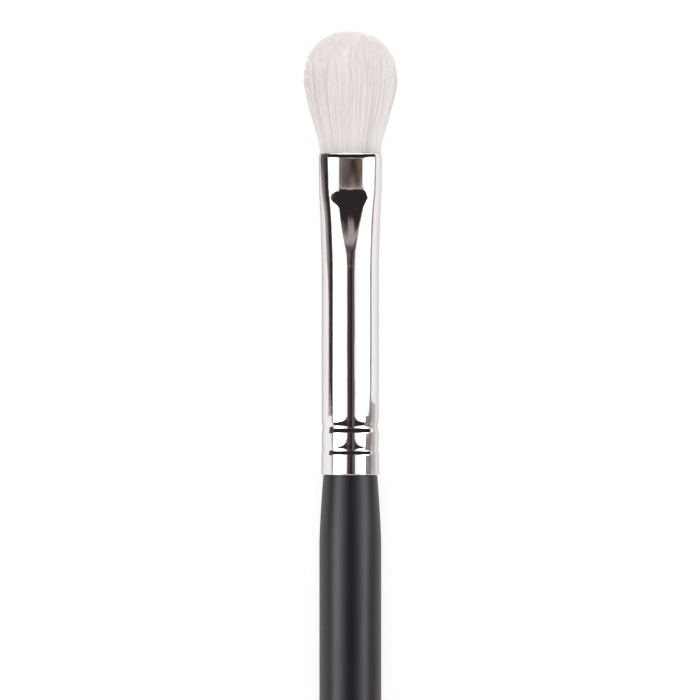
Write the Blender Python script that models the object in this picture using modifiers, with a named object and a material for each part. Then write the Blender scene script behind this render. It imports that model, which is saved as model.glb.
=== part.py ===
"""Blending brush for powder make-up, lying on its side along X with its hair towards +X.

Metres, +Z up. The pieces are made round the brush's own axis: there z is the distance from the
joint of handle and ferrule, positive towards the hair, y runs across the broad side of the hair
and x across its thin side. One empty lays that axis down along X, at the height where the
broadest part of the handle and the flat side of the hair touch the table.
"""

import math

import bmesh
import bpy

# Clearances between pieces that are glued or pressed together, and the distance within which
# the points of a turned piece meet on its axis
fit_gap = 0.00015
seam_gap = 0.0001
merge_distance = 0.00001

# Ferrule, a thin tube, round at the handle and pressed oval at its mouth
ferrule_length = 0.0401
ferrule_diameter = 0.0072
ferrule_wall = 0.0003
ferrule_edge = 0.00012
mouth_width = 0.00795
mouth_thickness = 0.00555
pressing_length = 0.0150
lip_length = 0.00055
lip_curl = 0.0001

# Crimps, two shallow grooves rolled round the ferrule, placed from its end at the handle
lower_crimp_place = 0.0029
lower_crimp_width = 0.0009
lower_crimp_depth = 0.00005
upper_crimp_place = 0.0059
upper_crimp_width = 0.00125
upper_crimp_depth = 0.00011

# Handle, turned, with a shoulder just inside the ferrule's outer size and a long tapered tail
handle_length = 0.1220
shoulder_inset = 0.00022
collar_length = 0.0037
swell_length = 0.0049
belly_diameter = 0.00774
belly_length = 0.0320
tail_diameter = 0.0046
tail_round = 0.0011
tenon_length = 0.0120
tenon_chamfer = 0.0005

# Hair, a flat tuft that fans out of the mouth and ends in a dome
hair_length = 0.0154
head_width = 0.0117
head_thickness = 0.00774
head_place = 0.0088
root_depth = 0.0130
root_slice_depth = 0.0005
waist_diameter = 0.0047
waist_length = 0.0045

# Binding round the waist of the hair, placed from the root end
binding_place = 0.0030
binding_width = 0.0010
binding_thickness = 0.00035
binding_edge = 0.0001

# Resin cup at the root end of the hair, and the bead of glue on the tenon's end
plug_length = 0.0035
plug_cup_depth = 0.0018
bead_length = 0.0012
bead_hollow = 0.0005

# Counts, and the turn that keeps the six sectors of strands clear of the flat sides
round_sides = 36
ferrule_sides = 40
strand_rings = 11
strand_turn = math.pi / 6

# The pressing in steps, each as its share of the whole, where it starts and how long it is, all
# as shares: how the tube gets wider, and how it gets thinner
widening_shares = ((0.42, 0.0, 0.55), (0.40, 0.38, 0.34), (0.18, 0.50, 0.50))
thinning_shares = ((0.30, 0.0, 0.50), (0.50, 0.30, 0.42), (0.20, 0.55, 0.45))

# Shapes, as shares and powers. A section of power 2 is an ellipse, and a higher one is flatter
crimp_wall_share = 0.30
mouth_power = 2.8
hair_power = 2.5
fan_bulge_share = 0.40
dome_power = 2.4
tail_power = 1.5
strand_level_shares = (0.55, 0.87)
strand_width_shares = (0.78, 0.60)

# Sizes that follow
ferrule_radius = ferrule_diameter / 2
bore_radius = ferrule_radius - ferrule_wall
belly_radius = belly_diameter / 2
tail_radius = tail_diameter / 2
waist_radius = waist_diameter / 2
total_length = handle_length + ferrule_length + hair_length
joint_x = handle_length - total_length / 2
axis_height = max(belly_radius, head_thickness / 2)
hair_root_z = ferrule_length - root_depth
hair_slice_z = ferrule_length - root_slice_depth
hair_widest_z = ferrule_length + head_place
hair_tip_z = ferrule_length + hair_length
crimps = (
    (lower_crimp_place, lower_crimp_width, lower_crimp_depth),
    (upper_crimp_place, upper_crimp_width, upper_crimp_depth),
)

# Finishes: colour, roughness, metallic
finishes = {
    "black_lacquer": ((0.018, 0.017, 0.021), 0.42, 0.0),
    "bright_nickel": ((0.82, 0.80, 0.79), 0.16, 1.0),
    "pale_hair": ((0.83, 0.80, 0.78), 0.75, 0.0),
    "waxed_thread": ((0.70, 0.66, 0.56), 0.80, 0.0),
    "clear_resin": ((0.62, 0.50, 0.28), 0.30, 0.0),
    "white_glue": ((0.78, 0.76, 0.68), 0.50, 0.0),
}


def eased(share):
    """A share from 0 to 1 that starts and ends gently."""
    share = min(max(share, 0.0), 1.0)
    return share * share * (3 - 2 * share)


def evenly(start, end, count):
    """Places from start to end, both included, count steps apart."""
    return [start + (end - start) * step / count for step in range(count + 1)]


def pressing(z, steps):
    """How far the tube has changed at z: 0 where it is round, 1 at its mouth."""
    along = (z - ferrule_length + pressing_length) / pressing_length
    return sum(part * eased((along - start) / span) for part, start, span in steps)


def dent(z):
    """How deep the crimps press the tube in at z."""
    depth_here = 0.0
    for place, width, depth in crimps:
        inside = (width / 2 - abs(z - place)) / (width * crimp_wall_share)
        depth_here += depth * min(max(inside, 0.0), 1.0)
    return depth_here


def ferrule_half_sizes(z, inset=0.0):
    """Half of the ferrule's thickness and width at z, less inset. Its lip curls in a little."""
    thinner = pressing(z, thinning_shares)
    wider = pressing(z, widening_shares)
    half_x = ferrule_radius + (mouth_thickness / 2 - ferrule_radius) * thinner
    half_y = ferrule_radius + (mouth_width / 2 - ferrule_radius) * wider
    lip_share = max(z - ferrule_length + lip_length, 0.0) / lip_length
    less = dent(z) + lip_curl * lip_share**2 + inset
    return half_x - less, half_y - less


def ferrule_power(z):
    """The power of the ferrule's section at z: an ellipse where it is round."""
    return 2 + (mouth_power - 2) * pressing(z, thinning_shares)


def unit_ring(sides, turn=0.0, power=2):
    """Corners of a round or flattened section of half size 1, the first one turned from x."""
    corners = []
    for side in range(sides):
        angle = turn + math.tau * side / sides
        x = math.cos(angle)
        y = math.sin(angle)
        reach = (abs(x) ** power + abs(y) ** power) ** (-1 / power)
        corners.append((reach * x, reach * y))
    return corners


def ring(z, half_sizes, sides, turn=0.0, power=2):
    """Corner points of one section."""
    half_x, half_y = half_sizes
    return [(half_x * x, half_y * y, z) for x, y in unit_ring(sides, turn, power)]


def make_material(name):
    colour, roughness, metallic = finishes[name]
    material = bpy.data.materials.new(name)
    material.use_nodes = True
    shader = material.node_tree.nodes["Principled BSDF"]
    shader.inputs["Base Color"].default_value = (*colour, 1.0)
    shader.inputs["Roughness"].default_value = roughness
    shader.inputs["Metallic"].default_value = metallic
    material.diffuse_color = (*colour, 1.0)
    return material


def make_object(name, mesh, finish):
    """A named piece on the brush's axis."""
    piece = bpy.data.objects.new(name, mesh)
    brush.objects.link(piece)
    piece.parent = axis
    mesh.materials.append(make_material(finish))
    return piece


def finished_mesh(name, shape, sharp_angle=math.radians(32)):
    """The mesh of a bmesh, its faces turned outwards and its round faces smooth."""
    bmesh.ops.recalc_face_normals(shape, faces=shape.faces)
    mesh = bpy.data.meshes.new(name)
    shape.to_mesh(mesh)
    shape.free()
    mesh.shade_smooth()
    mesh.set_sharp_from_angle(angle=sharp_angle)
    return mesh


def turned(name, profile, finish, closed=False):
    """A piece turned round the axis from (radius, z) points that run down its outer side."""
    shape = bmesh.new()
    points = [shape.verts.new((radius, 0.0, z)) for radius, z in profile]
    for first, second in zip(points, points[1:]):
        shape.edges.new((first, second))
    if closed:
        shape.edges.new((points[-1], points[0]))
    mesh = bpy.data.meshes.new(name)
    shape.to_mesh(mesh)
    shape.free()
    piece = make_object(name, mesh, finish)
    screw = piece.modifiers.new("turn", "SCREW")
    screw.axis = "Z"
    screw.steps = round_sides
    screw.render_steps = round_sides
    screw.use_merge_vertices = True
    screw.merge_threshold = merge_distance
    screw.use_smooth_shade = True
    return piece


def join_rings(shape, lower, upper):
    """Faces between two rings of as many points."""
    count = len(lower)
    for side in range(count):
        after = (side + 1) % count
        shape.faces.new((lower[side], lower[after], upper[after], upper[side]))


def crimp_places():
    """Where the walls of the crimps start and end."""
    places = []
    for place, width, _ in crimps:
        flat = width * (1 / 2 - crimp_wall_share)
        places += [place - width / 2, place - flat, place + flat, place + width / 2]
    return places


def tenon_radius(z):
    return bore_radius - dent(z) - fit_gap


def make_handle():
    shoulder_radius = ferrule_radius - shoulder_inset
    collar_z = -collar_length
    swell_z = collar_z - swell_length
    belly_z = swell_z - belly_length
    round_z = -handle_length + tail_round
    profile = [(0.0, tenon_length)]
    profile.append((tenon_radius(tenon_length) - tenon_chamfer, tenon_length))
    profile.append((tenon_radius(tenon_length), tenon_length - tenon_chamfer))
    profile += [(tenon_radius(z), z) for z in reversed(crimp_places())]
    profile.append((tenon_radius(0.0), -seam_gap))
    for share in evenly(0.0, 1.0, 5):
        rise = math.sin(share * math.pi / 2)
        z = -seam_gap + (collar_z + seam_gap) * share
        profile.append((shoulder_radius + shoulder_inset * rise, z))
    for share in evenly(0.0, 1.0, 5)[1:]:
        rise = math.sin(share * math.pi / 2)
        radius = ferrule_radius + (belly_radius - ferrule_radius) * rise
        profile.append((radius, collar_z - swell_length * share))
    profile.append((belly_radius, belly_z))
    for share in evenly(0.0, 1.0, 10)[1:]:
        radius = belly_radius + (tail_radius - belly_radius) * share**tail_power
        profile.append((radius, belly_z + (round_z - belly_z) * share))
    for share in evenly(0.0, 1.0, 4)[1:]:
        turn = share * math.pi / 2
        inwards = tail_round * (1 - math.cos(turn))
        profile.append((tail_radius - inwards, round_z - tail_round * math.sin(turn)))
    profile.append((0.0, -handle_length))
    turned("handle", profile, "black_lacquer")


def make_ferrule():
    """A loft from the round end, over the oval mouth and back down the bore."""
    press_z = ferrule_length - pressing_length
    outer_lip_z = ferrule_length - ferrule_edge
    outer = []
    for turn in evenly(0.0, math.pi / 2, 2):
        inset = ferrule_edge * (1 - math.sin(turn))
        outer.append((ferrule_edge * (1 - math.cos(turn)), inset))
    outer += [(z, 0.0) for z in crimp_places()]
    outer += [(z, 0.0) for z in evenly(press_z, ferrule_length - lip_length, 16)]
    outer += [(z, 0.0) for z in evenly(ferrule_length - lip_length, outer_lip_z, 2)[1:]]
    for turn in evenly(0.0, math.pi / 2, 2)[1:]:
        inset = ferrule_edge * (1 - math.cos(turn))
        outer.append((ferrule_length - ferrule_edge * (1 - math.sin(turn)), inset))
    inner = [(ferrule_length, ferrule_wall)]
    inner += [(z, ferrule_wall) for z in evenly(ferrule_length - lip_length, press_z, 12)]
    inner += [(z, ferrule_wall) for z in reversed(crimp_places())]
    inner.append((0.0, ferrule_wall))
    shape = bmesh.new()
    rings = []
    for z, inset in outer + inner:
        half_sizes = ferrule_half_sizes(z, inset)
        points = ring(z, half_sizes, ferrule_sides, power=ferrule_power(z))
        rings.append([shape.verts.new(point) for point in points])
    for first, second in zip(rings, rings[1:] + rings[:1]):
        join_rings(shape, first, second)
    make_object("ferrule", finished_mesh("ferrule", shape), "bright_nickel")


def fan_half_sizes(z):
    """Half of the hair's thickness and width at z, before the dome takes its ends away."""
    along = min(max((z - ferrule_length) / head_place, 0.0), 1.0)
    spread = along + fan_bulge_share * along * along * (1 - along)
    mouth_x, mouth_y = ferrule_half_sizes(ferrule_length, ferrule_wall + fit_gap)
    half_x = mouth_x + (head_thickness / 2 - mouth_x) * spread
    half_y = mouth_y + (head_width / 2 - mouth_y) * spread
    return half_x, half_y


def hair_reach(x, y):
    """How far out a place in a section of the hair lies: 0 in the middle, 1 at the outside."""
    return (abs(x) ** hair_power + abs(y) ** hair_power) ** (1 / hair_power)


def strand_end(reach):
    """Where a strand ends that lies this share of the way out from the middle."""
    height = (1 - reach**dome_power) ** (1 / dome_power)
    return hair_widest_z + (hair_tip_z - hair_widest_z) * height


def add_strand(shape, corners, spots):
    """One strand of three sides, from three corners of the root slice to its own tip."""
    middle_x = sum(x for x, _ in spots) / 3
    middle_y = sum(y for _, y in spots) / 3
    end_z = strand_end(hair_reach(middle_x, middle_y))
    lower = corners
    for level, width in zip(strand_level_shares, strand_width_shares):
        z = hair_slice_z + (end_z - hair_slice_z) * level
        half_x, half_y = fan_half_sizes(z)
        upper = []
        for spot_x, spot_y in spots:
            x = half_x * (middle_x + (spot_x - middle_x) * width)
            y = half_y * (middle_y + (spot_y - middle_y) * width)
            upper.append(shape.verts.new((x, y, z)))
        join_rings(shape, lower, upper)
        lower = upper
    half_x, half_y = fan_half_sizes(end_z)
    tip = shape.verts.new((half_x * middle_x, half_y * middle_y, end_z))
    for side in range(3):
        shape.faces.new((lower[side], lower[(side + 1) % 3], tip))


def root_ring(z):
    """A section of the packed root end: round at its waist, and like the mouth at its top."""
    waist_z = hair_root_z + waist_length
    share = eased((z - waist_z) / (hair_slice_z - waist_z))
    mouth_x, mouth_y = fan_half_sizes(hair_slice_z)
    half_x = waist_radius + (mouth_x - waist_radius) * share
    half_y = waist_radius + (mouth_y - waist_radius) * share
    power = 2 + (hair_power - 2) * share
    return ring(z, (half_x, half_y), 6 * strand_rings, strand_turn, power)


def make_hair_tuft():
    """Strands that stand on every second triangle of the root slice, and the packed root end."""
    shape = bmesh.new()
    slice_x, slice_y = fan_half_sizes(hair_slice_z)
    spots = [[(0.0, 0.0)]]
    for ring_number in range(1, strand_rings + 1):
        reach = ring_number / strand_rings
        corners_here = unit_ring(6 * ring_number, strand_turn, hair_power)
        spots.append([(reach * x, reach * y) for x, y in corners_here])
    corners = []
    for row in spots:
        places = [(slice_x * x, slice_y * y, hair_slice_z) for x, y in row]
        corners.append([shape.verts.new(place) for place in places])
    for outer in range(1, strand_rings + 1):
        inner = outer - 1
        for sector in range(6):
            for step in range(outer):
                a = sector * outer + step
                b = (a + 1) % (6 * outer)
                c = (sector * inner + step) % max(6 * inner, 1)
                own = [(outer, a), (outer, b), (inner, c)]
                points = [corners[row][place] for row, place in own]
                add_strand(shape, points, [spots[row][place] for row, place in own])
                if step + 1 < outer:
                    d = (c + 1) % (6 * inner)
                    shape.faces.new((corners[inner][c], corners[outer][b], corners[inner][d]))
    waist_z = hair_root_z + waist_length
    upper = corners[-1]
    for z in evenly(hair_slice_z, waist_z, 4)[1:] + [hair_root_z]:
        lower = [shape.verts.new(place) for place in root_ring(z)]
        join_rings(shape, lower, upper)
        upper = lower
    shape.faces.new(upper)
    mesh = finished_mesh("hair_tuft", shape, math.radians(60))
    make_object("hair_tuft", mesh, "pale_hair")


def make_binding():
    """The band of thread round the waist of the hair."""
    inner = waist_radius + fit_gap
    outer = inner + binding_thickness
    bottom = hair_root_z + binding_place - binding_width / 2
    top = bottom + binding_width
    profile = [
        (inner, top - binding_edge),
        (inner + binding_edge, top),
        (outer - binding_edge, top),
        (outer, top - binding_edge),
        (outer, bottom + binding_edge),
        (outer - binding_edge, bottom),
        (inner + binding_edge, bottom),
        (inner, bottom + binding_edge),
    ]
    turned("binding_thread", profile, "waxed_thread", closed=True)


def make_glue_plug():
    """The resin cup that the root end of the hair stands in."""
    floor_z = hair_root_z - fit_gap
    top_z = hair_root_z + plug_cup_depth
    bottom_z = floor_z - plug_length
    recess = waist_radius + fit_gap
    outer = min(ferrule_half_sizes(top_z, ferrule_wall + fit_gap))
    profile = [
        (0.0, floor_z),
        (recess, floor_z),
        (recess, top_z),
        (outer, top_z),
        (outer, bottom_z),
        (0.0, bottom_z),
    ]
    turned("glue_plug", profile, "clear_resin")


def make_tenon_glue():
    """The bead of glue on the tenon's end, drawn up along the bore at its rim."""
    bottom_z = tenon_length + fit_gap
    top_z = bottom_z + bead_length
    outer = bore_radius - fit_gap
    profile = []
    for share in evenly(0.0, 1.0, 4):
        profile.append((outer * share, top_z - bead_hollow * (1 - share * share)))
    profile += [(outer, bottom_z), (0.0, bottom_z)]
    turned("tenon_glue", profile, "white_glue")


for old in list(bpy.data.objects):
    bpy.data.objects.remove(old, do_unlink=True)

brush = bpy.data.collections.new("blending_brush")
bpy.context.scene.collection.children.link(brush)

axis = bpy.data.objects.new("brush_axis", None)
axis.location = (joint_x, 0.0, axis_height)
axis.rotation_euler = (0.0, math.pi / 2, 0.0)
axis.empty_display_size = ferrule_length
brush.objects.link(axis)

make_handle()
make_ferrule()
make_hair_tuft()
make_binding()
make_glue_plug()
make_tenon_glue()
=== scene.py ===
import math

import bpy
import numpy as np
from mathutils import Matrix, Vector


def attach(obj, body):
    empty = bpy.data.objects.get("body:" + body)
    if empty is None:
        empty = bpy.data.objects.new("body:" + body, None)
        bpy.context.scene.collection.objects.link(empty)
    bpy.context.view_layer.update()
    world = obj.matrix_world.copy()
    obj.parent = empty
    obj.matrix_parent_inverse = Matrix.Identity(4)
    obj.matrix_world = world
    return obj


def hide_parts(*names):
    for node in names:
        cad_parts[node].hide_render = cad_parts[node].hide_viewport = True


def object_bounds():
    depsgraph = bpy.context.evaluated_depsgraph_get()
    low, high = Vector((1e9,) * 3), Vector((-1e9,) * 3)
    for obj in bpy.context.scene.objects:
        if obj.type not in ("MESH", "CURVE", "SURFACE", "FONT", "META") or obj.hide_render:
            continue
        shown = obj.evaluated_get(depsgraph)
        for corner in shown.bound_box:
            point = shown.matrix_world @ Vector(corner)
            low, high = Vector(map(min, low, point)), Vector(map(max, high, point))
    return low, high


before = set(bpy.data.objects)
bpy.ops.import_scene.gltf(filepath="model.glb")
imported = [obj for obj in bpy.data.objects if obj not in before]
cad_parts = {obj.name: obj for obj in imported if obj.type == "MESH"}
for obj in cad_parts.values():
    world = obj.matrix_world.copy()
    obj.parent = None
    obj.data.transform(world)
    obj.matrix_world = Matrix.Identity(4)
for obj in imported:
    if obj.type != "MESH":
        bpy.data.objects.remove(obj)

# The brush lies along X with its hair towards +X and the flat of the hair up. Places along it are
# distances from the joint of handle and ferrule, positive towards the hair. Metres throughout,
# apart from the tables of slopes.

frame_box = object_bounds()

# Ferrule: a drawn tube, pressed flat towards its mouth. It gets wider in three steps, each with
# its part of the whole, where it starts and how long it is
ferrule_length = 0.04016
ferrule_radius = 0.0036
ferrule_wall = 0.0003
ferrule_edge = 0.00012
mouth_width = 0.00795
mouth_edge = 0.0002
bore_edge = 0.0001
bore_edge_round = 0.00003
pressing_length = 0.0151
lip_length = 0.00070
lip_curl = 0.00011
widening_shares = ((0.42, 0.0, 0.55), (0.40, 0.38, 0.34), (0.18, 0.50, 0.50))

# The jaws leave a flatter panel on each face, a gentle arc that gets wider towards the mouth
panel_radius = 0.0150
panel_half_width = 0.00160
panel_start = 0.02606
panel_full = 0.0344
panel_shift = 0.00015
panel_power = 1.6
panel_corner = 0.000012

# How the faces fall where the jaws press them and where the two crimps are rolled in, by places
# in millimetres and slopes in degrees
press_slopes = (
    (24.8, 0.0), (25.56, 0.45), (26.31, 1.0), (27.06, 1.5), (27.81, 2.15), (28.56, 2.7),
    (29.31, 3.15), (30.06, 3.4), (30.81, 3.6), (31.56, 3.75), (31.94, 3.95), (32.31, 4.1),
    (32.69, 4.4), (33.06, 4.8), (33.44, 5.5), (33.81, 6.6), (34.19, 7.15), (34.56, 7.0),
    (34.94, 6.2), (35.22, 5.1), (35.42, 4.1), (35.55, 3.05), (35.68, 2.55), (35.83, 2.25),
    (36.06, 2.1), (36.81, 1.85), (37.44, 1.6), (38.06, 1.35), (38.69, 1.05), (39.20, 0.75),
    (39.34, 1.95), (39.48, 2.3), (40.1, 2.3),
)
crimp_slopes = (
    (2.51, 0.0), (2.58, 12.0), (2.97, 12.0), (3.04, 0.0), (3.12, -0.7), (3.28, -1.8),
    (3.36, -5.6), (3.52, -5.6), (3.62, -3.8), (3.85, -2.4), (4.1, -1.3), (4.5, -0.3), (4.7, 0.0),
    (5.24, 0.0), (5.31, 12.0), (5.76, 11.5), (5.84, 4.0), (5.94, 1.0), (6.05, -0.5), (6.12, -2.0),
    (6.18, -12.5), (6.455, -12.5), (6.52, -9.5), (6.61, -5.2), (6.74, -3.4), (6.90, -2.1),
    (7.15, -0.9), (7.4, 0.0),
)
slope_places = 4100
places_in_millimetre = 100
places_in_metre = 100000

# Rings of the tube, closest where its slope changes: the crimps, the plain part, the pressed part
tube_sides = 180
edge_places = (0.00016, 0.00024, 0.0004, 0.001, 0.0018)
crimps_start, crimps_end, crimp_ring_gap = 0.0024, 0.0075, 0.00005
plain_start, plain_end = 0.0078, 0.0246
pressed_start, pressed_ring_gap = 0.0248, 0.00014
bore_pressed_start, bore_plain_end = 0.0251, 0.0240
bore_crimps_end, bore_ring_gap = 0.0074, 0.00015

# Handle: turned wood with a tenon in the ferrule, a shoulder, a belly and a long tail
turned_sides = 96
handle_length = 0.1220
seam_gap = 0.0001
shoulder_inset = 0.00022
shoulder_length = 0.0086
shoulder_power = 1.35
belly_radius = 0.00387
belly_length = 0.0320
tail_radius = 0.0023
tail_round = 0.0011
tail_power = 1.5
tenon_length = 0.0120
tenon_radius = 0.00315
tenon_chamfer = 0.0005
tenon_crimps_start, tenon_crimps_end = 0.002, 0.0074

# Hair: a flat tuft that fans out of the mouth and ends in a dome, and its packed root end
hair_length = 0.0153
head_width = 0.0117
head_thickness = 0.00774
head_place = 0.0087
fan_bulge = 0.40
dome_gathering = 0.035
hair_power = 2.15
dome_power = 2.4
hair_gap = 0.00005
thin_side_gap = 0.00010
root_depth = 0.0130
root_round = 0.00015
waist_radius = 0.00235
waist_length = 0.0045

# The body in the middle of the hair, a little smaller than the tuft all round
body_root_gap = 0.0008
body_tip_gap = 0.0009
body_share = 0.97
body_slimming = 0.07
body_dome_share = 0.86
body_dome_power = 0.9

# Strands, with their taper by shares of their length. Those of a lock lean and end alike
strand_seed = 7
strand_count = 10500
strand_radius = 0.000042
strand_thickest, strand_thinnest = 1.15, 0.8
strand_root_gap = 0.0016
strand_shares = (0, 0.30, 0.52, 0.72, 0.87, 0.96, 1.0)
strand_taper = (1, 1, 1, 0.93, 0.75, 0.50, 0.22)
strand_corners = 3
strand_shortfall = 0.00022
strand_wander = 0.00006
strand_turn_scatter = 0.01
strand_tone, strand_tone_scatter = 0.83, 0.12
# A few strands painted darker: painted shade of the gaps between strands
gap_shade_share, gap_shade_by = 0.06, 0.5
lock_count = 520
lock_gathering = 0.22
lock_first_turn = 1.0
lock_spot_scatter = 0.012
lock_tone_scatter = 0.07
lock_lean_scatter = 0.00007
lock_length_scatter = 0.00006
golden_turn = math.pi * (3 - math.sqrt(5))

# Places that follow, and where the frame has the brush
ferrule_mouth = ferrule_length
lip_start = ferrule_length - lip_length
bore_radius = ferrule_radius - ferrule_wall
hair_widest = ferrule_length + head_place
hair_tip = ferrule_length + hair_length
hair_root_end = ferrule_length - root_depth
joint_x = round(frame_box[0][0] + handle_length, 6)
axis_height = belly_radius


def eased(share):
    """A share from 0 to 1 that starts and ends gently."""
    share = np.clip(share, 0, 1)
    return share * share * (3 - 2 * share)


def pressing(place, steps):
    """How far the tube has changed at a place: 0 where it is round, 1 at its mouth."""
    along = (place - ferrule_length + pressing_length) / pressing_length
    return sum(part * eased((along - start) / span) for part, start, span in steps)


def fallen(slopes):
    """How far a face has fallen at each of tube_places."""
    places, degrees = np.array(slopes).T
    here = np.interp(np.arange(slope_places) / places_in_millimetre, places, degrees)
    return np.cumsum(np.tan(np.radians(here))) / places_in_metre


tube_places = np.arange(slope_places) / places_in_metre
press_falls = fallen(press_slopes)
crimp_falls = fallen(crimp_slopes)


def dent(place):
    """How deep the two crimps press the tube in at a place."""
    return np.interp(place, tube_places, crimp_falls)


def panel_reach(place):
    """Half the width of the flatter panel at a place."""
    along = np.clip((place - panel_start) / (panel_full - panel_start), 0, 1)
    return panel_half_width * (1 - (1 - along) ** panel_power)


def tube_half_sizes(place, inset):
    """Half of the tube's thickness and width at a place, less inset, with its curled lip."""
    wider = pressing(place, widening_shares)
    lip_share = np.maximum(place - ferrule_length + lip_length, 0) / lip_length
    less = dent(place) + lip_curl * lip_share**2 + inset
    half_width = ferrule_radius + (mouth_width / 2 - ferrule_radius) * wider
    middle = ferrule_radius - np.interp(place, tube_places, press_falls)
    reach = panel_reach(place)
    side_height = middle - reach**2 / (2 * panel_radius)
    half_thickness = side_height / np.sqrt(1 - (reach / half_width) ** 2)
    return half_thickness - less, half_width - less


def panel_height(place, across, half_thickness, half_width):
    """How high the flatter panel leaves the tube at a place along and across it."""
    reach = panel_reach(place)
    shift = panel_shift * math.sin(math.pi * (reach / panel_half_width) ** 2)
    edge_height = half_thickness * math.sqrt(1 - (reach / half_width) ** 2)
    middle_height = edge_height + reach**2 / (2 * panel_radius)
    return middle_height - (across + shift) ** 2 / (2 * panel_radius)


def flattened(up, across, power):
    """How much further out than a circle a flattened section of this power reaches."""
    return (np.abs(up) ** power + np.abs(across) ** power) ** (-1 / power)


# Finishes


def grey(level):
    return (level, level, level)


class Value:
    """A socket in a material. Sums and products of it add their nodes."""

    def __init__(self, finish, socket):
        self.finish = finish
        self.socket = socket

    def worked(self, operation, *numbers):
        return self.finish.node("Math", {"operation": operation}, dict(enumerate(numbers)))

    def __add__(self, other):
        return self.worked("ADD", self, other)

    def __sub__(self, other):
        return self.worked("SUBTRACT", self, other)

    def __rsub__(self, other):
        return self.worked("SUBTRACT", other, self)

    def __mul__(self, other):
        return self.worked("MULTIPLY", self, other)

    def __pow__(self, other):
        return self.worked("POWER", self, other)

    def larger(self, other):
        return self.worked("MAXIMUM", self, other)

    __radd__ = __add__
    __rmul__ = __mul__


class Finish:
    """One finish of the brush, made node by node round its own shader."""

    def __init__(self, name, holder=None, **constants):
        self.holder = holder or bpy.data.materials.new(name)
        self.holder.use_nodes = True
        self.nodes = self.holder.node_tree.nodes
        self.links = self.holder.node_tree.links
        if holder is None:
            self.shader = self.nodes["Principled BSDF"]
            for socket, constant in constants.items():
                self.shader.inputs[socket.replace("_", " ")].default_value = constant

    def node(self, kind, settings=None, values=None, output=0):
        """Adds a node with its settings and the values or links of its sockets."""
        made = self.nodes.new("ShaderNode" + kind)
        for name, setting in (settings or {}).items():
            if name == "stops":
                for place, colour in setting[1:-1]:
                    made.color_ramp.elements.new(place)
                for element, (place, colour) in zip(made.color_ramp.elements, setting):
                    element.position = place
                    element.color = (*colour, 1)
            else:
                setattr(made, name, setting)
        for socket, value in (values or {}).items():
            self.give(made.inputs[socket], value)
        return Value(self, made.outputs[output])

    def give(self, socket, value):
        if isinstance(value, Value):
            self.links.new(value.socket, socket)
        else:
            socket.default_value = value

    def shows(self, **values):
        """Gives the shader's sockets their values."""
        for socket, value in values.items():
            self.give(self.shader.inputs[socket.replace("_", " ")], value)

    def surface(self, shader, output="Material Output"):
        """Shows this shader in place of the finish's own."""
        self.links.new(shader.socket, self.nodes[output].inputs["Surface"])

    def place(self):
        """The place on the brush, in metres."""
        return self.node("TexCoord", output="Object")

    def noise(self, size, stretch=1.0, detail=2.0, start=0.0, roughness=0.5):
        """Noise with features of a size in metres, stretched along the brush."""
        scale = (1 / (size * stretch), 1 / size, 1 / size)
        values = {"Vector": self.place(), "Location": (start,) * 3, "Scale": scale}
        place = self.node("Mapping", None, values)
        values = {"Vector": place, "Scale": 1.0, "Detail": detail, "Roughness": roughness}
        return self.node("TexNoise", None, values)

    def cells(self, size):
        """How far it is to the middle of the nearest of many cells of a size in metres."""
        values = {"Vector": self.place(), "Scale": 1 / size}
        return self.node("TexVoronoi", None, values, output="Distance")

    def ranged(self, value, low, high):
        """0 where a value is at low, 1 where it is at high, and smooth between."""
        values = {0: value, 1: low, 2: high, 3: 0.0, 4: 1.0}
        return self.node("MapRange", {"interpolation_type": "SMOOTHSTEP"}, values)

    def mixed(self, blend, share, first, second):
        values = {0: share, 6: first, 7: second}
        return self.node("Mix", {"data_type": "RGBA", "blend_type": blend}, values, output=2)

    def colours(self, share, first, second):
        """The first colour where share is 0 and the second where it is 1."""
        both = [(*tone, 1) if isinstance(tone, tuple) else tone for tone in (first, second)]
        return self.mixed("MIX", share, *both)

    def raised(self, height, depth):
        """The normal of a surface whose height goes from 0 to 1 over a depth in metres."""
        return self.node("Bump", None, {"Height": height, "Distance": depth, "Strength": 1.0})


def bright_nickel():
    """Nickel plate on drawn brass: fine lines along the tube, dull spots, a slight waviness."""
    finish = Finish("bright_nickel", Metallic=1.0)
    drawn = finish.noise(0.00010, stretch=60, detail=3)
    wavy = finish.noise(0.0016, stretch=3.5, detail=1, start=3.0)
    blotchy = finish.noise(0.0011, stretch=1.8, detail=4, start=7.0, roughness=0.6)
    dull = finish.ranged(blotchy, 0.58, 0.72)
    tone = drawn * 0.5 + blotchy * 0.5
    finish.shows(
        Base_Color=finish.colours(tone, (0.73, 0.70, 0.69), (0.88, 0.865, 0.855)),
        Roughness=0.025 + drawn * 0.03 + dull * 0.03,
        Normal=finish.raised(wavy * 0.8 + drawn * 0.2, 0.0000065),
    )
    return finish.holder


def black_lacquer():
    """Matte black lacquer on turned wood: soft grain lines, fine peel and a few specks."""
    finish = Finish("black_lacquer", Specular_IOR_Level=0.54, Specular_Tint=(0.98, 0.93, 1.0, 1))
    grain = finish.noise(0.00035, stretch=25, detail=3)
    cloudy = finish.noise(0.0030, stretch=2, detail=2, start=5.0)
    peel = finish.noise(0.00016, detail=2, start=2.0)
    speck = finish.ranged(finish.cells(0.0011), 0.075, 0.035)
    colour = finish.colours(grain, (0.0036, 0.0030, 0.0050), (0.0060, 0.0052, 0.0078))
    finish.shows(
        Base_Color=finish.colours(speck * 0.35, colour, (0.14, 0.13, 0.13)),
        Roughness=0.27 + grain * 0.06 + cloudy * 0.07 + speck * 0.2,
        Normal=finish.raised(grain * 0.45 + peel * 0.35 + speck * 0.2, 0.000006),
    )
    return finish.holder


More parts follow.
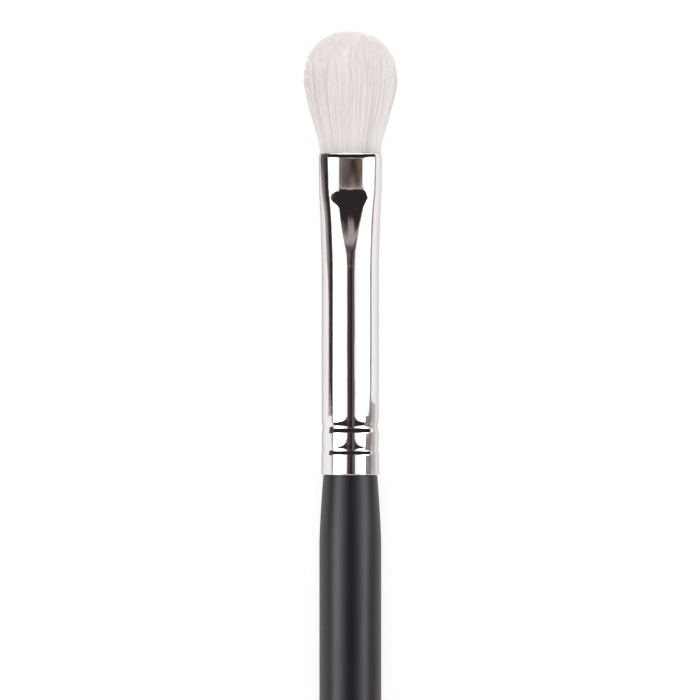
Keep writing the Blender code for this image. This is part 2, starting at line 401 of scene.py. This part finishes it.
def pale_hair():
    """Off-white hair: each strand has its own tone, warmer or cooler in patches.

    Painted shade makes it a little darker towards its root, where the strands lie closer, and at
    its tip.
    """
    finish = Finish("pale_hair", Specular_IOR_Level=0.3)
    tone = finish.node("Attribute", {"attribute_name": "tone"}, output="Fac")
    patchy = finish.noise(0.0022, stretch=2.5, detail=1)
    warm = finish.colours(patchy, (0.962, 0.905, 0.8715), (0.941, 0.905, 0.880))
    deep = finish.colours(patchy, (0.645, 0.598, 0.577), (0.614, 0.593, 0.577))
    from_mouth = finish.node("SeparateXYZ", None, {0: finish.place()}) - (joint_x + ferrule_mouth)
    # Painted shade along the hair: darker towards the root and towards the tip
    painted_shade_levels = (
        (0.0, 0.928), (0.355, 0.957), (0.62, 1.0), (0.75, 1.0), (0.885, 0.957), (1.0, 0.957),
    )
    stops = [(share, grey(level)) for share, level in painted_shade_levels]
    shade = finish.node("ValToRGB", {"stops": stops}, {0: from_mouth * (1 / hair_length)})
    finish.shows(
        Base_Color=finish.mixed("MULTIPLY", 1.0, finish.colours(tone, deep, warm), shade),
        Roughness=0.48 + tone * 0.2,
    )
    return finish.holder


def packed_hair():
    """The root end of the bundle, where the strands lie tight side by side."""
    finish = Finish("packed_hair", Specular_IOR_Level=0.3)
    lines = finish.noise(0.00008, stretch=60, detail=2)
    cloudy = finish.noise(0.0015, stretch=3, detail=2, start=4.0)
    tone = lines * 0.6 + cloudy * 0.4
    finish.shows(
        Base_Color=finish.colours(tone, (0.72, 0.69, 0.66), (0.88, 0.86, 0.84)),
        Roughness=0.55 + cloudy * 0.2,
        Normal=finish.raised(lines, 0.00003),
    )
    return finish.holder


def waxed_thread():
    """Turns of waxed thread side by side, each a ridge round the bundle, with painted shade in the
    grooves between them.
    """
    finish = Finish("waxed_thread")
    values = {"Vector": finish.place(), "Scale": 1 / 0.00125, "Distortion": 0.6, "Detail": 2.0}
    values["Detail Scale"] = 3.0
    turns = finish.node("TexWave", {"bands_direction": "X"}, values, output="Fac")
    waxy = finish.noise(0.0006, detail=3)
    # Painted shade: the turns make the colour darker in the grooves; the waxy patches are the
    # thread's own tone
    tone = turns * 0.7 + waxy * 0.3
    finish.shows(
        Base_Color=finish.colours(tone, (0.44, 0.39, 0.29), (0.76, 0.72, 0.62)),
        Roughness=0.55 + waxy * 0.25,
        Normal=finish.raised(turns * 0.85 + waxy * 0.15, 0.00006),
    )
    return finish.holder


def cured_resin():
    """Cured amber resin, a little cloudy, with fine bubbles at its surface."""
    finish = Finish("clear_resin")
    cloudy = finish.noise(0.0012, detail=3)
    bubble = finish.ranged(finish.cells(0.0005), 0.22, 0.10)
    finish.shows(
        Base_Color=finish.colours(cloudy, (0.46, 0.33, 0.14), (0.70, 0.58, 0.36)),
        Roughness=0.16 + cloudy * 0.14 + bubble * 0.2,
        Normal=finish.raised(cloudy * 0.5 + bubble * 0.5, 0.00003),
    )
    return finish.holder


def cured_glue():
    """Cured white glue, wrinkled a little as it shrank."""
    finish = Finish("white_glue")
    wrinkled = finish.noise(0.0005, detail=4)
    cloudy = finish.noise(0.0014, detail=2, start=6.0)
    finish.shows(
        Base_Color=finish.colours(cloudy, (0.68, 0.65, 0.54), (0.84, 0.83, 0.77)),
        Roughness=0.35 + wrinkled * 0.25,
        Normal=finish.raised(wrinkled, 0.00004),
    )
    return finish.holder


# Pieces


def drawn_piece(name, profile, sides, tube=False):
    """One ring drawn out along the brush and scaled at each place of its profile."""
    bpy.ops.object.select_all(action="DESELECT")
    place, radius = profile[0]
    bpy.ops.mesh.primitive_circle_add(
        vertices=sides,
        radius=radius,
        fill_type="NOTHING" if tube else "NGON",
        location=(joint_x + place, 0, axis_height),
        rotation=(0, math.pi / 2, 0),
    )
    piece = bpy.context.object
    piece.name = name
    piece.data.name = name
    bpy.ops.object.transform_apply(location=True, rotation=True, scale=True)
    bpy.ops.object.mode_set(mode="EDIT")
    bpy.ops.mesh.select_all(action="SELECT")
    for next_place, next_radius in profile[1:]:
        step = {"value": (next_place - place, 0, 0)}
        bpy.ops.mesh.extrude_region_move(TRANSFORM_OT_translate=step)
        wider = next_radius / radius
        bpy.ops.transform.resize(
            value=(1, wider, wider),
            center_override=(joint_x + next_place, 0, axis_height),
        )
        place, radius = next_place, next_radius
    if tube:
        bpy.ops.mesh.select_all(action="DESELECT")
        bpy.ops.mesh.select_non_manifold()
        bpy.ops.mesh.bridge_edge_loops()
    bpy.ops.mesh.select_all(action="SELECT")
    bpy.ops.mesh.normals_make_consistent(inside=False)
    bpy.ops.object.mode_set(mode="OBJECT")
    return piece


def finished(piece, slot_name, material, *nodes):
    """A new piece gets its finish, rides on the brush and stands for its CAD nodes."""
    piece.data.materials.clear()
    piece.data.materials.append(material)
    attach(piece, "root")
    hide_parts(*nodes)


def smoothed(piece, degrees):
    bpy.ops.object.select_all(action="DESELECT")
    piece.select_set(True)
    bpy.context.view_layer.objects.active = piece
    bpy.ops.object.shade_smooth_by_angle(angle=math.radians(degrees))


def make_handle():
    """The handle from the end of its tenon to the flat at its tail."""
    profile = [(tenon_length, tenon_radius - tenon_chamfer)]
    profile.append((tenon_length - tenon_chamfer, tenon_radius))
    places = np.linspace(tenon_crimps_end, tenon_crimps_start, 28)
    profile += [(place, tenon_radius - dent(place)) for place in places]
    profile.append((-seam_gap, tenon_radius))
    shoulder_radius = ferrule_radius - shoulder_inset
    for share in np.linspace(0, 1, 27):
        rise = 1 - (1 - share) ** shoulder_power
        place = -seam_gap - (shoulder_length - seam_gap) * share
        profile.append((place, shoulder_radius + (belly_radius - shoulder_radius) * rise))
    for share in np.linspace(0, 1, 5)[1:]:
        profile.append((-shoulder_length - belly_length * share, belly_radius))
    belly_end = -shoulder_length - belly_length
    round_start = tail_round - handle_length
    for share in np.linspace(0, 1, 25)[1:]:
        radius = belly_radius + (tail_radius - belly_radius) * share**tail_power
        profile.append((belly_end + (round_start - belly_end) * share, radius))
    for share in np.linspace(0, 1, 9)[1:]:
        turn = share * math.pi / 2
        inwards = tail_round * (1 - math.cos(turn))
        profile.append((round_start - tail_round * math.sin(turn), tail_radius - inwards))
    piece = drawn_piece("turned_handle", profile, turned_sides)
    smoothed(piece, 40)
    finished(piece, "black_lacquer", black_lacquer(), "handle")


def press_tube(piece):
    """Presses the round tube to its sections, as the jaws and the crimping rolls do."""
    for corner in piece.data.vertices:
        place = corner.co.x - joint_x
        across = corner.co.y
        up = corner.co.z - axis_height
        radius = math.hypot(across, up)
        half_thickness, half_width = tube_half_sizes(place, ferrule_radius - radius)
        across = half_width * across / radius
        height = half_thickness * abs(up) / radius
        if place > panel_start:
            panel = panel_height(place, across, half_thickness, half_width)
            softly = math.sqrt((height - panel) ** 2 + panel_corner**2)
            height = (height + panel - softly) / 2
        corner.co.y = across
        corner.co.z = axis_height + math.copysign(max(height, 0), up)


def make_ferrule():
    """The plated tube: rounded end, crimps, pressed part and curled lip, and back inside."""
    profile = []
    for turn in np.linspace(0, math.pi / 2, 5):
        inset = ferrule_edge * (1 - math.sin(turn))
        profile.append((ferrule_edge * (1 - math.cos(turn)), ferrule_radius - inset))
    places = list(edge_places)
    places += list(np.arange(crimps_start, crimps_end, crimp_ring_gap))
    places += list(np.linspace(plain_start, plain_end, 18))
    places += list(np.arange(pressed_start, lip_start, pressed_ring_gap))
    places += list(np.linspace(lip_start, ferrule_length - mouth_edge, 12))
    profile += [(place, ferrule_radius) for place in places]
    for turn in np.linspace(0, math.pi / 2, 7)[1:]:
        inset = mouth_edge * (1 - math.cos(turn))
        place = ferrule_length - mouth_edge * (1 - math.sin(turn))
        profile.append((place, ferrule_radius - inset))
    profile.append((ferrule_length - bore_edge / 5, bore_radius + bore_edge_round))
    profile.append((ferrule_length - bore_edge, bore_radius))
    inner = [ferrule_length - lip_length * share for share in (0.4, 0.7, 1.0)]
    inner += list(np.linspace(ferrule_length - 2 * lip_length, bore_pressed_start, 26))
    inner += list(np.linspace(bore_plain_end, plain_start, 6))
    inner += list(np.arange(bore_crimps_end, crimps_start, -bore_ring_gap)) + [0.0]
    profile += [(place, bore_radius) for place in inner]
    piece = drawn_piece("pressed_ferrule", profile, tube_sides, tube=True)
    press_tube(piece)
    smoothed(piece, 50)
    finished(piece, "bright_nickel", bright_nickel(), "ferrule")


def fan_half_sizes(place):
    """Half of the hair's thickness and width at a place, before the dome takes its ends away."""
    along = np.clip((place - ferrule_mouth) / head_place, 0, 1)
    spread = along + fan_bulge * along**2 * (1 - along)
    above = np.clip((place - hair_widest) / (hair_tip - hair_widest), 0, 1)
    mouth_half = tube_half_sizes(ferrule_mouth, ferrule_wall + hair_gap)
    thin_start = mouth_half[0] - thin_side_gap
    half_thickness = thin_start + (head_thickness / 2 - thin_start) * spread
    half_width = mouth_half[1] + (head_width / 2 - mouth_half[1]) * spread
    gathered = 1 - dome_gathering * above**2
    return half_thickness * gathered, half_width * gathered


def dome_reach(place):
    """How far out the dome still reaches at a place: 1 at the widest, 0 at its tip."""
    above = np.clip((place - hair_widest) / (hair_tip - hair_widest), 0, 1)
    return (1 - above**dome_power) ** (1 / dome_power)


def make_hair_body():
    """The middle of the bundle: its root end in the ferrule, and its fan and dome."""
    root_top = ferrule_mouth - body_root_gap
    waist_top = hair_root_end + waist_length
    body_tip = hair_tip - body_tip_gap
    round_end = hair_root_end + root_round
    profile = [(hair_root_end, waist_radius - root_round), (round_end, waist_radius)]
    places = list(np.linspace(round_end, waist_top, 6)[1:])
    places += list(np.linspace(waist_top, root_top, 24)[1:])
    places += list(np.linspace(root_top, hair_widest, 30)[1:])
    turns = np.linspace(0, math.pi / 2, 22)[1:]
    places += list(hair_widest + (body_tip - hair_widest) * np.sin(turns))
    profile += [(place, waist_radius) for place in places]
    piece = drawn_piece("hair_body", profile, turned_sides)
    top_half = fan_half_sizes(root_top)
    for corner in piece.data.vertices:
        place = corner.co.x - joint_x
        share = float(eased((place - waist_top) / (root_top - waist_top)))
        across = corner.co.y / waist_radius
        up = (corner.co.z - axis_height) / waist_radius
        radius = max(math.hypot(across, up), 1e-9)
        reach = flattened(up / radius, across / radius, 2 + (hair_power - 2) * share)
        half_thickness = waist_radius + (top_half[0] * body_share - waist_radius) * share
        half_width = waist_radius + (top_half[1] * body_share - waist_radius) * share
        if place > root_top:
            fan = fan_half_sizes(place)
            dome_place = hair_widest + (place - hair_widest) / body_dome_share
            dome = float(dome_reach(dome_place)) ** body_dome_power
            slimmer = body_share - body_slimming * float(eased((place - root_top) / head_place))
            half_thickness = fan[0] * dome * slimmer
            half_width = fan[1] * dome * slimmer
        corner.co.y = half_width * reach * across
        corner.co.z = axis_height + half_thickness * reach * up
    smoothed(piece, 60)
    finished(piece, "pale_hair", packed_hair(), "hair_tuft")


def make_strands():
    """Thousands of fine tapered strands, in three layers from the middle outwards."""
    chance = np.random.default_rng(strand_seed)

    number = np.arange(strand_count) + 0.5
    reach = np.sqrt(number / strand_count)
    turn = number * golden_turn + chance.normal(0, strand_turn_scatter, strand_count)
    up, across = np.cos(turn), np.sin(turn)
    wider = flattened(up, across, hair_power)
    spot = np.stack([up * wider, across * wider], 1) * reach[:, None]

    lock_number = np.arange(lock_count) + 0.5
    lock_turn = lock_number * golden_turn + lock_first_turn
    lock_reach = np.sqrt(lock_number / lock_count)
    lock_spot = np.stack([np.cos(lock_turn), np.sin(lock_turn)], 1) * lock_reach[:, None]
    lock_spot += chance.normal(0, lock_spot_scatter, lock_spot.shape)
    lock = ((spot[:, None] - lock_spot[None]) ** 2).sum(2).argmin(1)
    lock_tone = chance.normal(0, lock_tone_scatter, lock_count)
    lock_lean = chance.normal(0, lock_lean_scatter, (lock_count, 2))
    lock_length = chance.normal(0, lock_length_scatter, lock_count)

    tone = strand_tone + lock_tone[lock] + chance.normal(0, strand_tone_scatter, strand_count)
    height = (1 - np.minimum(reach, 1) ** dome_power) ** (1 / dome_power)
    end = hair_widest + (hair_tip - hair_widest) * height
    end = end + lock_length[lock] - np.abs(chance.normal(0, strand_shortfall, strand_count))
    start = ferrule_mouth - strand_root_gap
    scale = chance.uniform(strand_thinnest, strand_thickest, strand_count)
    wander = lock_lean[lock] + chance.normal(0, strand_wander, (strand_count, 2))
    centres = np.zeros((strand_count, len(strand_shares), 3))
    for level, share in enumerate(strand_shares):
        place = start + (end - start) * share
        half_sizes = np.stack(fan_half_sizes(place), 1)
        drawn = spot + (lock_spot[lock] - spot) * lock_gathering * share**2
        middle = drawn * half_sizes + wander * share**2
        centres[:, level, 0] = joint_x + place
        centres[:, level, 1] = middle[:, 1]
        centres[:, level, 2] = axis_height + middle[:, 0]

    first_turn = chance.uniform(0, math.tau, strand_count)[:, None]
    corner_turn = first_turn + np.arange(strand_corners) * math.tau / strand_corners
    # Painted shade: a few strands made darker, for the gaps between them
    darker = chance.uniform(0, 1, strand_count) < gap_shade_share
    tone = np.clip(tone - gap_shade_by * darker, 0, 1)
    offsets = np.stack([np.zeros_like(corner_turn), np.cos(corner_turn), np.sin(corner_turn)], 2)
    sizes = (strand_radius * scale)[:, None] * np.array(strand_taper)[None]
    corners = centres[:, :, None] + offsets[:, None] * sizes[:, :, None, None]
    material = pale_hair()
    bounds = np.linspace(0, strand_count, 4).astype(int)
    for name, first, last in zip(("inner", "middle", "outer"), bounds, bounds[1:]):
        piece = strand_mesh(f"{name}_hair", corners[first:last], tone[first:last])
        piece.visible_shadow = False
        finished(piece, "pale_hair", material, "hair_tuft")


def strand_mesh(name, corners, tone):
    """One layer of strands as a mesh, each with its tone."""
    count, levels, sides, _ = corners.shape
    first = np.arange(count)[:, None, None] * levels * sides
    here = first + np.arange(levels - 1)[None, :, None] * sides
    side = np.arange(sides)[None, None]
    after = (side + 1) % sides
    ring = (here + side, here + after, here + sides + after, here + sides + side)
    quads = np.stack(ring, 3).reshape(-1, 4)
    first = first[:, 0]
    bottoms = first + np.array([[2, 1, 0]])
    tops = first + (levels - 1) * sides + np.array([[0, 1, 2]])
    mesh = bpy.data.meshes.new(name)
    faces = quads.tolist() + bottoms.tolist() + tops.tolist()
    mesh.from_pydata(corners.reshape(-1, 3), [], faces)
    mesh.shade_smooth()
    tones = mesh.attributes.new("tone", "FLOAT", "POINT")
    tones.data.foreach_set("value", np.repeat(tone, levels * sides).astype(np.float32))
    places = strand_map(count, levels, sides).astype(np.float32)
    mesh.uv_layers.new(name="OFBake").data.foreach_set("uv", places.ravel())
    piece = bpy.data.objects.new(name, mesh)
    bpy.context.scene.collection.objects.link(piece)
    return piece


def strand_map(count, levels, sides):
    """A map of the strands: a square of small fields, one for each, its ends above its sides."""
    margin, around, upwards = 0.1, 0.8, 0.7
    end_heights = (0.86, 0.93)
    end_u, end_v = np.array([[0.3, 0.7, 0.5]]), np.array([[0.0, 0.0, 0.05]])
    fields = math.ceil(math.sqrt(count))
    column, row = np.arange(count) % fields, np.arange(count) // fields
    level = np.arange(levels - 1)[None, :, None, None]
    side = np.arange(sides)[None, None, :, None]
    along = np.array([0, 0, 1, 1])[None, None, None]
    round_it = np.array([0, 1, 1, 0])[None, None, None]
    first_u, first_v = (start[:, None, None, None] + margin for start in (column, row))
    u = (first_u + around * (side + round_it) / sides) / fields
    v = (first_v + upwards * (level + along) / (levels - 1)) / fields
    places = np.stack(np.broadcast_arrays(u, v), 4).reshape(-1, 2)
    for height in end_heights:
        u = (column[:, None] + end_u) / fields
        v = (row[:, None] + height + end_v) / fields
        places = np.concatenate([places, np.stack([u, v], 2).reshape(-1, 2)])
    return places


# Studio


def ray(finish, kind):
    return finish.node("LightPath", output=f"Is {kind} Ray")


def seen_directly(finish):
    """1 for what the camera, a mirror or glass sees, and 0 for light that falls on the brush."""
    return ray(finish, "Camera").larger(ray(finish, "Glossy")).larger(ray(finish, "Transmission"))


def make_floor():
    """The white table: its colour shows as white, and it keeps the soft shadow of the brush. In
    the metal it shows a painted shadow beside the brush.
    """
    floor_size, floor_height = 5, -0.00003
    white_from, white_past = 0.13, 0.40
    bpy.ops.object.select_all(action="DESELECT")
    bpy.ops.mesh.primitive_plane_add(size=floor_size, location=(0, 0, floor_height))
    floor = bpy.context.object
    floor.name = "white_table"
    finish = Finish("white_table")
    plain = finish.node("BsdfDiffuse", None, {"Color": (0.86, 0.85, 0.845, 1)})
    shaded = finish.node("BsdfDiffuse", None, {"Color": (0.28, 0.28, 0.28, 1)})
    white = finish.node("Emission", None, {"Strength": 0.76})
    near = finish.node("AddShader", None, {0: shaded, 1: white})
    all_white = finish.node("Emission", None, {"Strength": 1.0})
    place = finish.place()
    distance = finish.node("VectorMath", {"operation": "LENGTH"}, {0: place}, output=1)
    further = finish.ranged(distance, white_from, white_past)
    shown = finish.node("MixShader", None, {0: further, 1: near, 2: all_white})

    # How light the table looks in the metal, by the place across the brush as a share of 0.1 m: a
    # painted shadow along both sides of the brush
    painted_shadow_levels = (
        (0.0, 0.97), (0.15, 0.97), (0.34, 1.0), (0.406, 0.92), (0.445, 0.86), (0.47, 0.60),
        (0.53, 0.42), (0.558, 0.66), (0.582, 1.0), (1.0, 1.0),
    )
    across = finish.node("SeparateXYZ", None, {0: place}, output=1)
    stops = [(share, grey(level)) for share, level in painted_shadow_levels]
    beside = finish.node("ValToRGB", {"stops": stops}, {0: across * 10 + 0.5})
    # The dark of the painted shadow that the metal sees beside the brush
    shadow = finish.node("BsdfDiffuse", None, {"Color": (0.10, 0.09, 0.09, 1)})
    mirrored = finish.node("MixShader", None, {0: beside, 1: shadow, 2: plain})
    surface = finish.node("MixShader", None, {0: ray(finish, "Camera"), 1: plain, 2: shown})
    surface = finish.node("MixShader", None, {0: ray(finish, "Glossy"), 1: surface, 2: mirrored})
    finish.surface(surface)
    floor.data.materials.append(finish.holder)


def make_room():
    """White all round for the camera and for reflections, and a soft light on the brush."""
    world = bpy.data.worlds.new("studio")
    bpy.context.scene.world = world
    finish = Finish("studio", world)
    soft = finish.node("Background", None, {"Color": (1, 1, 1, 1), "Strength": 0.72})
    white = finish.node("Background", None, {"Color": (1, 1, 1, 1), "Strength": 1.0})
    surface = finish.node("MixShader", None, {0: seen_directly(finish), 1: soft, 2: white})
    finish.surface(surface, "World Output")


# The lights and cloths are parts of balls round the ferrule. Their sideways angles and their leans
# are degrees from straight above, a lean positive towards the hair and a sideways angle towards +Y
rig_middle = np.array([0.055, 0.0, axis_height])
canopy_back, canopy_front = -29, 38
left_panel_edges = (12.4, 75.6)
right_panel_edges = (17.3, 88.0)
panel_steps = 12


def curved_panel(name, distance, sideways, ends):
    """Part of a ball round the ferrule, by its sideways angles and the leans of its two ends."""
    corners, faces, places = [], [], []
    for row, side_angle in enumerate(sideways):
        low, high = ends(side_angle)
        for step in range(panel_steps + 1):
            lean = math.radians(low + (high - low) * step / panel_steps)
            turn = math.radians(side_angle)
            towards = np.array(
                [math.sin(lean), math.cos(lean) * math.sin(turn), math.cos(lean) * math.cos(turn)]
            )
            corners.append(rig_middle + towards * distance)
            places.append((row / (len(sideways) - 1), step / panel_steps))
    for row in range(len(sideways) - 1):
        for step in range(panel_steps):
            corner = row * (panel_steps + 1) + step
            across = corner + panel_steps + 1
            faces.append((corner, corner + 1, across + 1, across))
    return plain_mesh(name, corners, faces, places)


def plain_mesh(name, corners, faces, places):
    """A panel of the studio, with a map of its places that its light or colour follows."""
    mesh = bpy.data.meshes.new(name)
    mesh.from_pydata(corners, [], faces)
    panel_map = mesh.uv_layers.new(name="panel")
    for loop in mesh.loops:
        panel_map.data[loop.index].uv = places[loop.vertex_index]
    panel = bpy.data.objects.new(name, mesh)
    bpy.context.scene.collection.objects.link(panel)
    panel.visible_camera = False
    panel.visible_shadow = False
    return panel


def panel_place(finish):
    """Where on its panel a point lies, sideways and lengthways, as shares."""
    place = finish.node("UVMap", {"uv_map": "panel"})
    return [finish.node("SeparateXYZ", None, {0: place}, output=part) for part in (0, 1)]


def lit(finish, panel, colour, strength=1.0):
    """Gives a panel a light of this colour."""
    finish.surface(finish.node("Emission", None, {"Color": colour, "Strength": strength}))
    panel.data.materials.append(finish.holder)


def glow(name, panel, colour, middle, edge, outwards=1.0):
    """Light from a panel, dimmer at its edges, its brightest part moved outwards by a power."""
    most, lengthways_fall = 0.87, 0.3
    finish = Finish(name)
    sideways, lengthways = panel_place(finish)
    sideways = sideways**outwards * 2 - 1
    lengthways = lengthways * 2 - 1
    inwards = 1 - sideways * sideways
    share = inwards * inwards * (most - lengthways * lengthways_fall)
    dim, bright = (tuple(part * level for part in colour) for level in (edge, middle))
    lit(finish, panel, finish.colours(share, dim, bright))


def reflected_only(panel):
    panel.visible_diffuse = False
    panel.visible_transmission = False


def dark_cloth(canopy):
    """Dark cloth over the camera, browner where the room behind it shows through.

    Its levels go by the lean, and its tones by the sideways angle, near and far.
    """
    most_light = 2.0
    levels = (
        (canopy_back, 0.25), (-12, 0.28), (-6, 0.52), (0, 0.46), (2.1, 0.46), (3.9, 1.15),
        (4.7, 1.20), (5.2, 0.95), (6.3, 0.95), (6.8, 1.25), (7.2, 2.0), (9.3, 2.0), (9.8, 0.13),
        (canopy_front, 0.10),
    )
    plain_tone = (0.14, 0.10, 0.10)
    line_tone = (0.225, 0.19, 0.19)
    near_tones = (
        (-90, plain_tone), (-14, plain_tone), (-9, (0.20, 0.145, 0.115)),
        (-6, (0.12, 0.066, 0.044)), (-4.2, (0.046, 0.031, 0.035)), (-1.6, (0.046, 0.032, 0.040)),
        (0.5, (0.125, 0.088, 0.092)), (6, (0.165, 0.122, 0.118)), (9, (0.20, 0.16, 0.157)),
        (11.5, (0.36, 0.31, 0.31)), (14, plain_tone), (90, plain_tone),
    )
    far_tones = (
        (-90, plain_tone), (-14, plain_tone), (-11.2, (0.33, 0.27, 0.25)),
        (-9.3, (0.13, 0.09, 0.08)), (-7.3, (0.060, 0.036, 0.031)), (-5.4, (0.085, 0.052, 0.046)),
        (-3.5, (0.19, 0.135, 0.13)), (-1.6, (0.21, 0.15, 0.15)), (1.2, (0.085, 0.065, 0.060)),
        (7, (0.10, 0.075, 0.073)), (9.8, (0.21, 0.185, 0.19)), (11.7, (0.36, 0.32, 0.32)),
        (14, plain_tone), (90, plain_tone),
    )
    finish = Finish("dark_cloth")
    sideways, lengthways = panel_place(finish)
    span = canopy_front - canopy_back
    stops = [((lean - canopy_back) / span, grey(level / most_light)) for lean, level in levels]
    level = finish.node("ValToRGB", {"stops": stops}, {0: lengthways})
    both = []
    for tones in (near_tones, far_tones):
        stops = [((angle + 90) / 180, tone) for angle, tone in tones]
        both.append(finish.node("ValToRGB", {"stops": stops}, {0: sideways}))
    lean = lengthways * span + canopy_back
    tone = finish.colours(finish.ranged(lean, 5.5, 6.9), *both)
    tone = finish.colours(finish.ranged(lean, 6.95, 7.4), tone, line_tone)
    lit(finish, canopy, finish.mixed("MULTIPLY", 1.0, tone, level), most_light)


def floor_card(name, edge, outwards, colour, levels):
    """A card on the table to be seen in the metal.

    Its edge has places along the brush, how near it comes there and how light it is.
    """
    card_height = 0.0004
    rows = (0.0, 0.025, 0.1, 1.1)
    corners, faces, places = [], [], []
    for number, (place, near, share) in enumerate(edge):
        for row, (further, level) in enumerate(zip(rows, levels)):
            corners.append((place, outwards * (near + further), card_height))
            places.append((level * share, 0.5))
            if number and row:
                last = number * len(rows) + row
                before = last - len(rows)
                faces.append((last, last - 1, before - 1, before))
    card = plain_mesh(name, corners, faces, places)
    finish = Finish(name)
    level, _ = panel_place(finish)
    lit(finish, card, finish.colours(level, grey(0), colour))
    reflected_only(card)


def back_end(from_inner):
    """The lean of a side panel's back end, by its angle from the panel's inner edge."""
    angles, leans = (0, 4, 8, 20, 35, 60), (-1.8, -4, -5.6, -8.5, -10.2, -15)
    return float(np.interp(from_inner, angles, leans))


def left_ends(angle):
    """The leans of the left panel's ends."""
    angles, leans = (12.4, 22, 40, 65, 77), (11.6, 11.1, 10.1, 9.4, 9.2)
    front = np.interp(angle, angles, leans)
    return back_end(angle - left_panel_edges[0]), float(front)


def right_ends(angle):
    """The leans of the right panel's ends, cut back where the metal shows a darker place."""
    angles, leans = (17.3, 29, 36, 43, 50, 55, 88), (7.9, 6.9, 6.8, 8.2, 9.5, 10.9, 11.0)
    front = np.interp(-angle, angles, leans)
    return back_end(-angle - right_panel_edges[0]), float(front)


def make_side_panels():
    """Two large soft lights left and right of the camera, with darker strips at their edges."""
    left = curved_panel("left_panel", 1.0, np.linspace(*left_panel_edges, 27), left_ends)
    glow("left_light", left, (1.0, 0.995, 1.0), middle=5.8, edge=1.2, outwards=1.4)
    right = curved_panel("right_panel", 1.0, -np.linspace(*right_panel_edges, 27), right_ends)
    glow("right_light", right, (0.89, 0.92, 1.0), middle=6.3, edge=1.2, outwards=1.5)
    angles = -np.linspace(7.5, 17.4, 4)
    fringe = curved_panel("right_fringe", 1.05, angles, lambda angle: (-38, 3.5))
    glow("fringe_glow", fringe, (1.0, 0.80, 0.74), middle=0.17, edge=0.12)
    reflected_only(fringe)
    for name, angles in (("left_frame", (3.2, 14.0)), ("right_frame", (-18.0, -2.5))):
        strip = curved_panel(name, 1.04, np.linspace(*angles, 4), lambda angle: (8.7, 13.0))
        glow(f"{name}_cloth", strip, (1.0, 0.8, 0.8), middle=0.03, edge=0.03)
        reflected_only(strip)


def grey_ends(angle):
    """The leans of the grey cloth's ends, its front one a little slanted."""
    return -30, -1.34 - 0.31 * (86 + angle) / 24


def make_grey_cloth():
    """A grey cloth low on the right."""
    cloth = curved_panel("grey_cloth", 0.97, -np.linspace(62.5, 88.0, 6), grey_ends)
    glow("grey_cloth", cloth, (1.0, 0.92, 0.93), middle=0.34, edge=0.22)
    reflected_only(cloth)


def make_front_light():
    """A soft light in front of the hair, and two wings of it that only the metal sees."""
    front = curved_panel("front_panel", 1.3, np.linspace(-32, 32, 5), lambda angle: (40, 80))
    glow("front_light", front, (1.0, 0.99, 0.98), middle=4.6, edge=3.8)
    for name, angles in (("left_wing", (32, 84)), ("right_wing", (-84, -32))):
        wing = curved_panel(name, 1.3, np.linspace(*angles, 5), lambda angle: (34, 42))
        glow(f"{name}_light", wing, (1.0, 0.99, 0.98), middle=4.5, edge=4.5)
        reflected_only(wing)


def canopy_ends(angle):
    """The leans of the canopy's ends. Low on the left its back end stops short."""
    return (-1.55 if angle > 77 else canopy_back), canopy_front


def make_canopy():
    """Dark cloth over the camera and all round it."""
    canopy = curved_panel("dark_canopy", 1.12, np.linspace(-90, 90, 37), canopy_ends)
    dark_cloth(canopy)
    reflected_only(canopy)


def make_cards():
    """Cards on the table left and right of the ferrule and beside the handle."""
    left_edge = (
        (0.0395, 0.037, 1.0), (0.055, 0.037, 1.0), (0.060, 0.018, 1.0), (0.066, 0.0155, 1.0),
        (0.0695, 0.0105, 0.8), (0.0725, 0.0085, 0.35), (0.80, 0.008, 0.35),
    )
    floor_card("left_card", left_edge, 1, (1.0, 0.85, 0.85), (0.50, 0.26, 0.08, 0.05))
    right_edge = ((0.0424, 0.056, 1.0), (0.80, 0.056, 1.0))
    floor_card("right_card", right_edge, -1, (1.0, 0.92, 0.92), (0.58, 0.48, 0.40, 0.36))
    handle_edge = ((-0.30, 0.011, 1.0), (0.0325, 0.011, 1.0))
    floor_card("handle_card", handle_edge, -1, (1.0, 0.94, 0.94), (0.95, 0.66, 0.54, 0.45))
    lower_edge = ((0.0325, 0.011, 1.0), (0.0420, 0.011, 1.0))
    floor_card("lower_card", lower_edge, -1, (1.0, 0.94, 0.94), (0.66, 0.44, 0.36, 0.30))


def make_camera():
    """Straight above the ferrule, the hair up in the picture, through a long lens."""
    picture_width = 0.0875
    picture_middle = (0.0488125, 0.00004)
    lens = bpy.data.cameras.new("camera")
    lens.sensor_width = 36
    lens.lens = 250
    distance = lens.lens / lens.sensor_width * picture_width
    lens.clip_start = 0.01
    lens.clip_end = 20
    camera = bpy.data.objects.new("camera", lens)
    camera.location = (*picture_middle, axis_height + distance)
    camera.rotation_euler = (0, 0, -math.pi / 2)
    bpy.context.scene.collection.objects.link(camera)
    bpy.context.scene.camera = camera


make_handle()
make_ferrule()
make_hair_body()
make_strands()
for node_name, material in (
    ("binding_thread", waxed_thread()),
    ("glue_plug", cured_resin()),
    ("tenon_glue", cured_glue()),
):
    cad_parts[node_name].data.materials.clear()
    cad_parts[node_name].data.materials.append(material)

make_floor()
make_room()
make_side_panels()
make_grey_cloth()
make_front_light()
make_canopy()
make_cards()
make_camera()
bpy.context.scene.view_settings.view_transform = "Standard"
